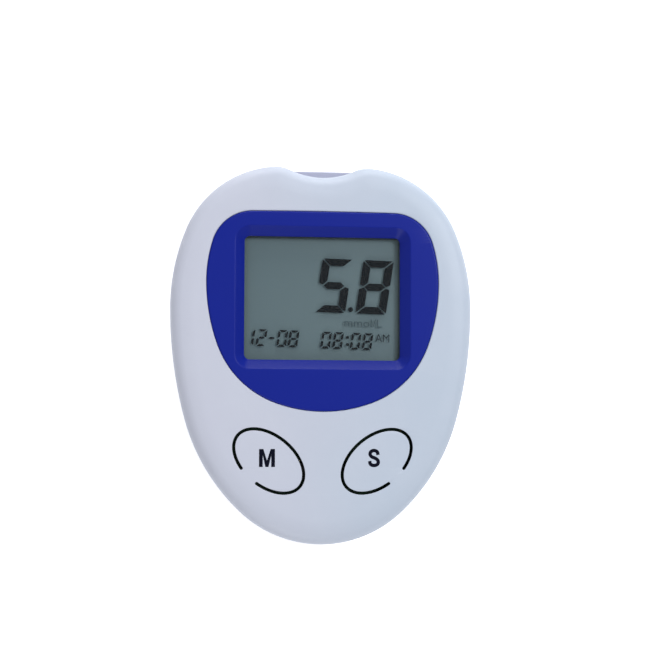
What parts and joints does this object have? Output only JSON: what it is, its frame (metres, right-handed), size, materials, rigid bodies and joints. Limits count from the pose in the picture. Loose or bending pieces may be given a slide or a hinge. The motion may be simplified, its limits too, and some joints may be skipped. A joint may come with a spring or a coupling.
{
  "type": "blood glucose meter",
  "caption": "Hand-held blood glucose meter with an egg-shaped housing, a framed liquid crystal display, living-hinge keys, a test strip port and a battery door.",
  "frame": {"origin": "middle of the back, in the plane the meter rests on", "axes": "+Z out of the display, +Y towards the end where the test strip goes in, +X to the reader's right"},
  "size_m": [0.066, 0.0823, 0.0231],
  "materials": {
    "housing plastic": "fine satin texture, moulded",
    "blue gloss plastic": "gloss, moulded through in deep blue",
    "clear lens": "clear acrylic, polished",
    "dark foam": "closed foam and striped elastomer",
    "lcd film": "grey-green polarising film",
    "display glass": "polished",
    "reflector film": "silvery satin film",
    "white plastic": "satin",
    "board laminate": "green solder mask",
    "black plastic": "fine satin",
    "lavender plastic": "satin, moulded in lavender grey",
    "gold plated spring metal": "bright plating",
    "nickel": "bright nickel plating",
    "ceramic": "matt fired ceramic with tinned ends",
    "cell sleeve": "plain printed sleeve over a steel can"
  },
  "bodies": {
    "housing": {"front_shell": "housing plastic", "back_shell": "housing plastic", "display_bezel": "blue gloss plastic", "display_lens": "clear lens", "lens_gasket": "dark foam", "lcd_polarizer": "lcd film", "lcd_front_glass": "display glass", "lcd_rear_glass": "display glass", "lcd_reflector": "reflector film", "zebra_strip": "dark foam", "lcd_frame": "white plastic", "main_board": "board laminate", "memory_switch": "black plastic", "set_switch": "black plastic", "strip_port": "lavender plastic", "strip_contacts": "gold plated spring metal", "processor_chip": "black plastic", "amplifier_chip": "black plastic", "clock_crystal": "nickel", "buzzer": "black plastic", "board_capacitors": "ceramic", "battery_left": "cell sleeve", "battery_right": "cell sleeve", "battery_spring_left": "nickel", "battery_spring_right": "nickel", "positive_contact": "nickel", "negative_contact": "nickel", "bridge_contact": "nickel", "case_screws": "nickel"},
    "memory_key": {"memory_key": "housing plastic"},
    "set_key": {"set_key": "housing plastic"},
    "memory_plunger": {"memory_plunger": "black plastic"},
    "set_plunger": {"set_plunger": "black plastic"},
    "battery_door": {"battery_door": "housing plastic"}
  },
  "joints": [
    {"name": "memory_key_press", "type": "hinge", "parent": "housing", "child": "memory_key", "pos_m": [-0.01594, -0.02647, 0.0222], "axis": [-0.7115, 0.7027, 0], "range_deg": [0, 3], "stiffness_Nm_per_rad": 0.08},
    {"name": "set_key_press", "type": "hinge", "parent": "housing", "child": "set_key", "pos_m": [0.01594, -0.02647, 0.0222], "axis": [-0.7115, -0.7027, 0], "range_deg": [0, 3], "stiffness_Nm_per_rad": 0.08},
    {"name": "memory_plunger_travel", "type": "slide", "parent": "housing", "child": "memory_plunger", "axis": [0, 0, -1], "range_m": [0, 0.000274]},
    {"name": "set_plunger_travel", "type": "slide", "parent": "housing", "child": "set_plunger", "axis": [0, 0, -1], "range_m": [0, 0.000274]},
    {"name": "battery_door_hinge", "type": "hinge", "parent": "housing", "child": "battery_door", "pos_m": [0, -0.02305, 0.001], "axis": [-1, 0, 0], "range_deg": [0, 85]}
  ],
  "couplings": [
    {"joint": "memory_key_press", "follows": "memory_plunger_travel", "rad_per_m": 190.9},
    {"joint": "set_key_press", "follows": "set_plunger_travel", "rad_per_m": 190.9}
  ]
}
